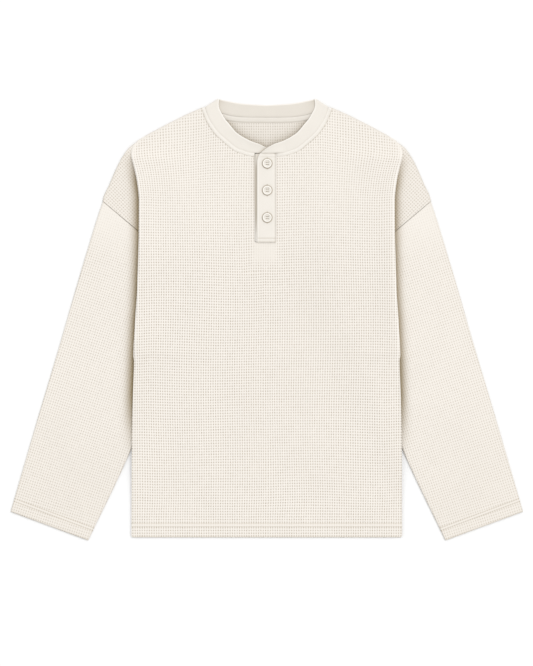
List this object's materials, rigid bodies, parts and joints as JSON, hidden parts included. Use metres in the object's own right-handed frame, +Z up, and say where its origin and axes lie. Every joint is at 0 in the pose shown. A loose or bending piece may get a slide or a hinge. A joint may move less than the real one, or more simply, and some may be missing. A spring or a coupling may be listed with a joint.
{
  "type": "henley shirt",
  "caption": "Long-sleeved henley shirt in waffle knit with a banded round neck and a short buttoned placket, laid flat with its sleeves down beside the body.",
  "frame": {"origin": "on the surface that the shirt lies on, under the middle of its outline", "axes": "+X across the shirt towards the wearer's left sleeve, +Y from the hem to the neck, +Z up out of the surface, so the front of the shirt faces +Z"},
  "size_m": [0.8292, 0.7149, 0.0125],
  "materials": {
    "waffle_knit": "cream cotton waffle knit, matt, with raised ribs and small square pits",
    "jersey_trim": "cream fine-ribbed cotton jersey, matt and smooth",
    "button_resin": "cream resin with a soft sheen"
  },
  "bodies": {
    "root": {"back": "waffle_knit", "front": "waffle_knit", "sleeve_left": "waffle_knit", "sleeve_right": "waffle_knit", "neckband": "jersey_trim", "placket_under": "jersey_trim", "placket_upper": "jersey_trim", "button_1": "button_resin", "button_2": "button_resin", "button_3": "button_resin"}
  },
  "joints": []
}
